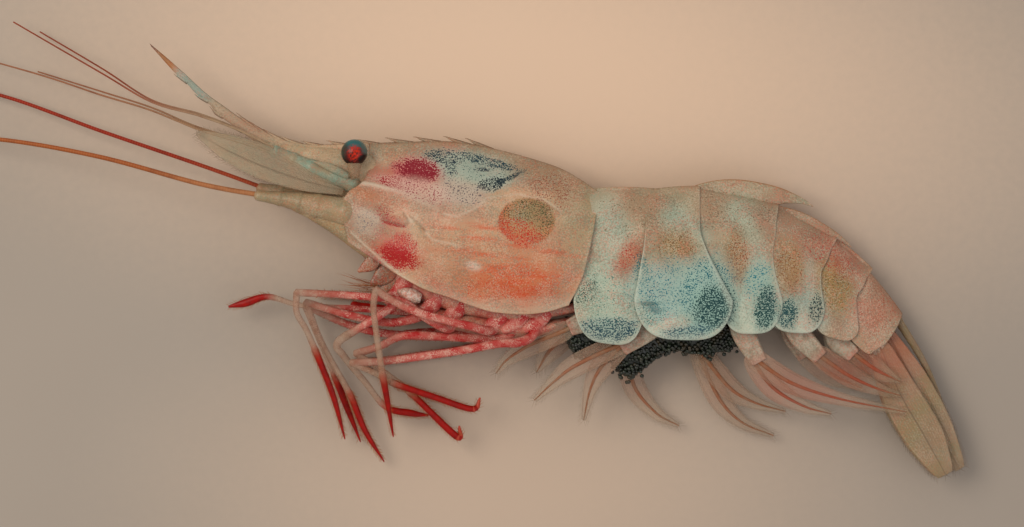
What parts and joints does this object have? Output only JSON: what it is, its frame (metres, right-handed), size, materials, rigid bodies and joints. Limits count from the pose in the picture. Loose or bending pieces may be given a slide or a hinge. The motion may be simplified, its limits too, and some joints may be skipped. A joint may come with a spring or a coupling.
{
  "type": "armed nylon shrimp",
  "caption": "Still life-size museum model of an armed nylon shrimp with eggs, lying on its right side, with saw-toothed rostrum, long feelers, legs and tail fan.",
  "frame": {"origin": "flat of the right flank of the carapace, on which the shrimp lies", "axes": "-Z is the outward normal of the resting flat, so +Z is the left flank and up; head towards -X, tail towards +X, back towards +Y"},
  "size_m": [0.1544, 0.0598, 0.0122],
  "materials": {
    "carapace_shell": "moist translucent shell, pinkish tan with teal and crimson stipple",
    "abdomen_shell": "moist translucent shell, pale teal stippled flaps, pinkish brown towards the tail",
    "tail": "thin translucent olive and pink blades",
    "eye": "glossy dark",
    "stalk": "moist translucent tan and olive",
    "feeler": "dark red to orange brown",
    "leg": "moist crimson, pale at the knees",
    "swimming_leg": "translucent whitish pink with red streaks",
    "eggs": "glossy near black"
  },
  "bodies": {
    "root": {"carapace": "carapace_shell", "rostrum": "carapace_shell", "abdomen_1": "abdomen_shell", "abdomen_2": "abdomen_shell", "abdomen_3": "abdomen_shell", "abdomen_4": "abdomen_shell", "abdomen_5": "abdomen_shell", "abdomen_6": "abdomen_shell", "telson": "tail", "uropod_inner_left": "tail", "uropod_inner_right": "tail", "uropod_outer_left": "tail", "uropod_outer_right": "tail", "eye_left": "eye", "eye_right": "eye", "eyestalks": "stalk", "antennule_left": "stalk", "antennule_right": "stalk", "antenna_left": "stalk", "antenna_right": "stalk", "antennal_scale_left": "stalk", "antennal_scale_right": "stalk", "antennule_whip_left_outer": "feeler", "antennule_whip_left_inner": "feeler", "antennule_whip_right_outer": "feeler", "antennule_whip_right_inner": "feeler", "antenna_whip_left": "feeler", "antenna_whip_right": "feeler", "sternum": "leg", "maxilliped3_left": "leg", "maxilliped3_right": "leg", "leg1_left_upper": "leg", "leg1_left_lower": "leg", "leg1_right": "leg", "leg2_left_upper": "leg", "leg2_left_lower": "leg", "leg2_right": "leg", "leg3_left_upper": "leg", "leg3_left_lower": "leg", "leg3_right_upper": "leg", "leg3_right_lower": "leg", "leg4_left_upper": "leg", "leg4_left_lower": "leg", "leg4_right_upper": "leg", "leg4_right_lower": "leg", "leg5_left_upper": "leg", "leg5_left_lower": "leg", "leg5_right_upper": "leg", "leg5_right_lower": "leg", "pleopod1_left": "swimming_leg", "pleopod1_right": "swimming_leg", "pleopod2_left": "swimming_leg", "pleopod2_right": "swimming_leg", "pleopod3_left": "swimming_leg", "pleopod3_right": "swimming_leg", "pleopod4_left": "swimming_leg", "pleopod4_right": "swimming_leg", "pleopod5_left": "swimming_leg", "pleopod5_right": "swimming_leg", "egg_mass": "eggs"}
  },
  "joints": []
}
